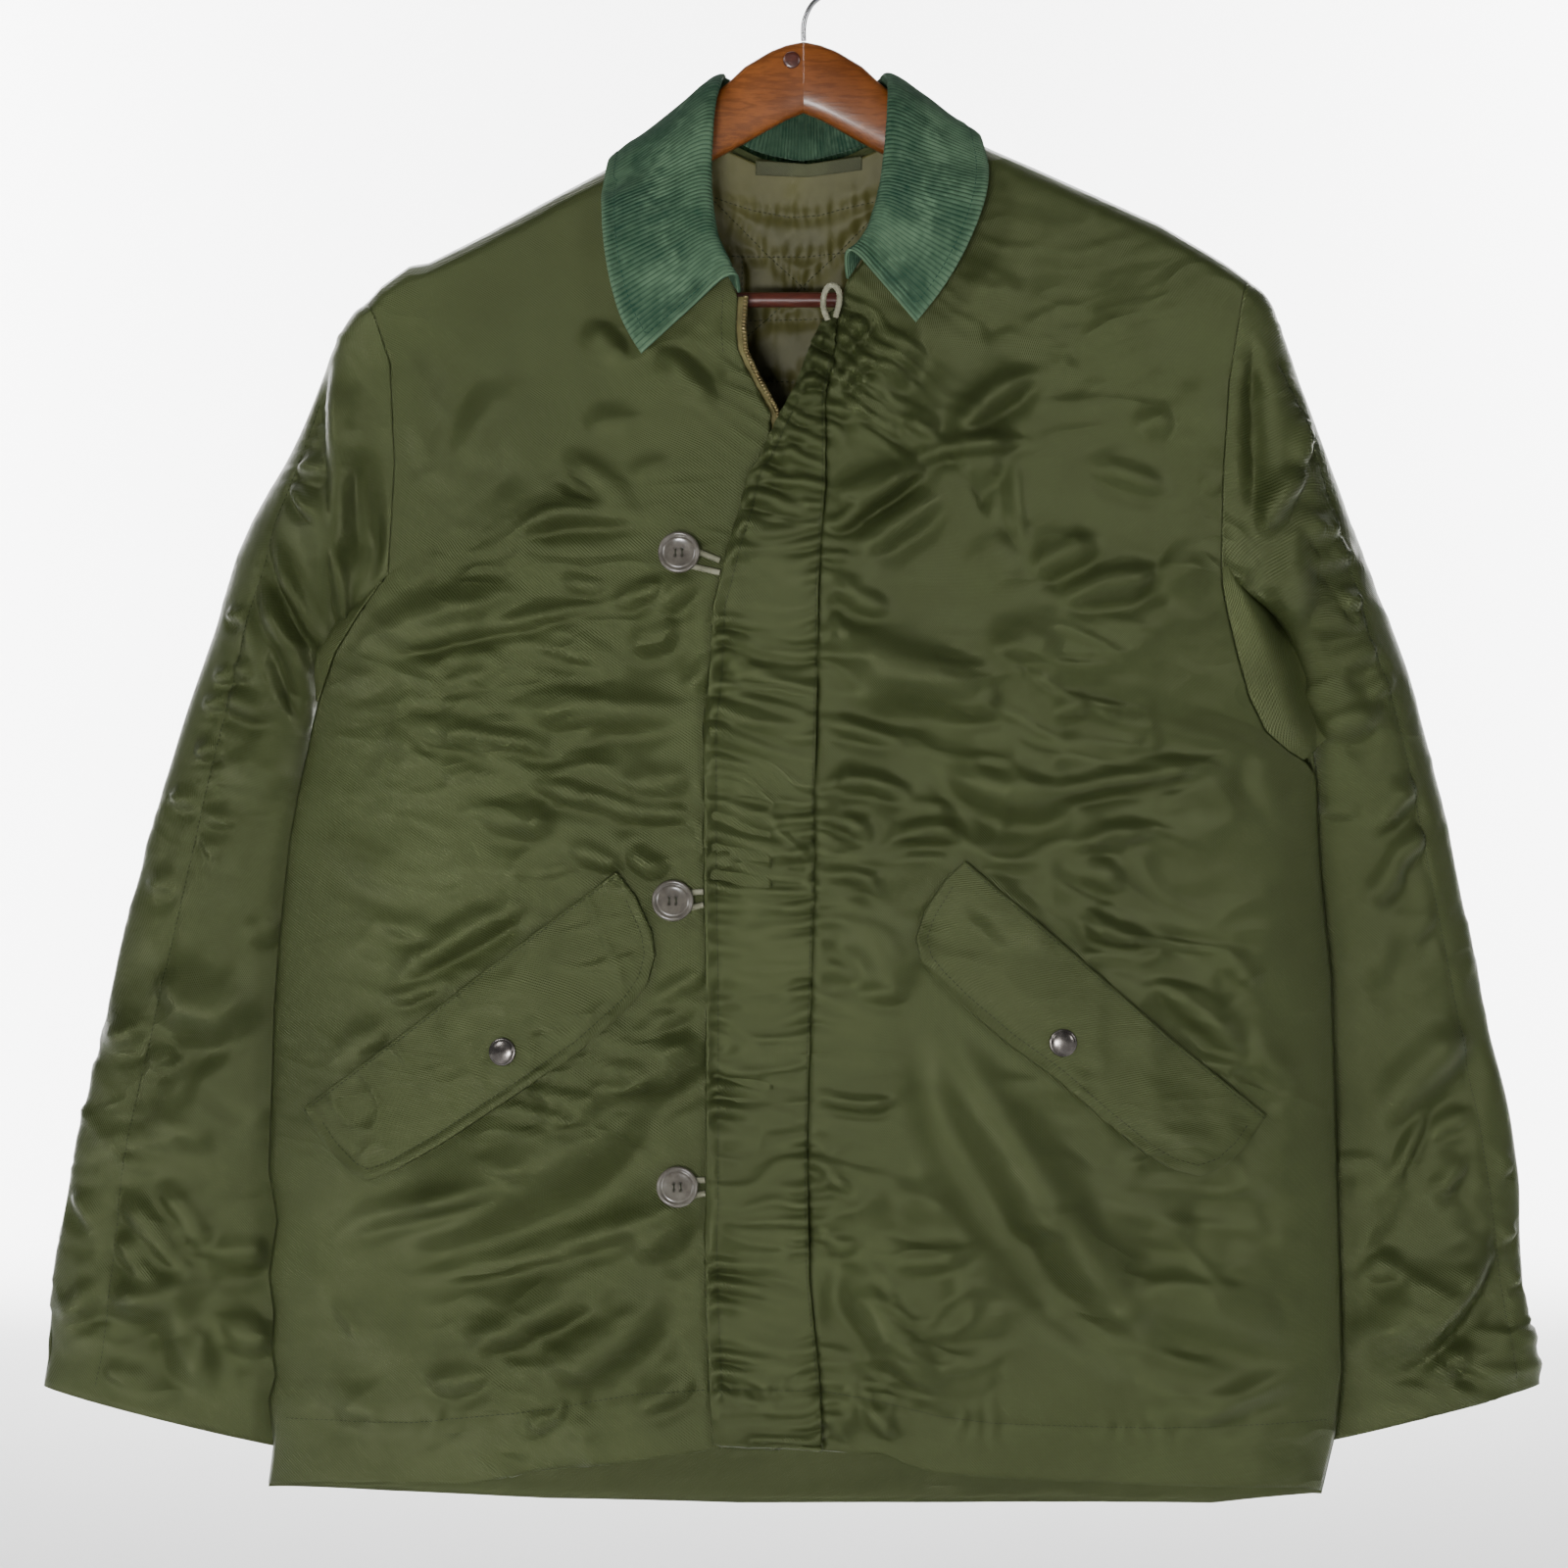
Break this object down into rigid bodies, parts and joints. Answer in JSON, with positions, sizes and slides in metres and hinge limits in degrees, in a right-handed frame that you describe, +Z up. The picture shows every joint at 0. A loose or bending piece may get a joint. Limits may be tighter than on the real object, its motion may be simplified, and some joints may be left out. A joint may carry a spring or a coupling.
{
  "type": "deck jacket on a wooden hanger",
  "caption": "Hip-length olive deck jacket with corduroy collar, storm flap with buttons and cord loops and slanted flap pockets, hung on a contoured wooden hanger",
  "frame": {"origin": "inner top of the hanger's hook, where it rests on a rail", "axes": "+Z up, front of the jacket towards -Y, wearer's left towards +X"},
  "size_m": [0.8776, 0.1153, 0.9221],
  "materials": {
    "nylon": "satin woven nylon, olive",
    "cord_cloth": "corduroy, green",
    "lining": "quilted lining, olive",
    "tape": "woven tape",
    "braid": "braided cord",
    "button": "gloss, grey-brown",
    "gunmetal": "dark, satin",
    "wood": "varnished",
    "red_wood": "stained dark red",
    "steel": "bright wire"
  },
  "bodies": {
    "root": {"back": "nylon", "back_lining": "lining", "button_loop_low": "braid", "button_loop_mid": "braid", "button_loop_top": "braid", "button_low": "button", "button_mid": "button", "button_top": "button", "collar": "cord_cloth", "front_left": "nylon", "front_right": "nylon", "gusset_left": "nylon", "gusset_right": "nylon", "hanger_arm_left": "wood", "hanger_arm_right": "wood", "hanger_bar": "red_wood", "hanger_plug": "red_wood", "hook": "steel", "neck_loop": "braid", "neck_strap": "tape", "pocket_flap_left": "nylon", "pocket_flap_right": "nylon", "sleeve_left": "nylon", "sleeve_right": "nylon", "snap_left": "gunmetal", "snap_right": "gunmetal", "storm_flap": "nylon", "zip_tape": "tape"}
  },
  "joints": []
}
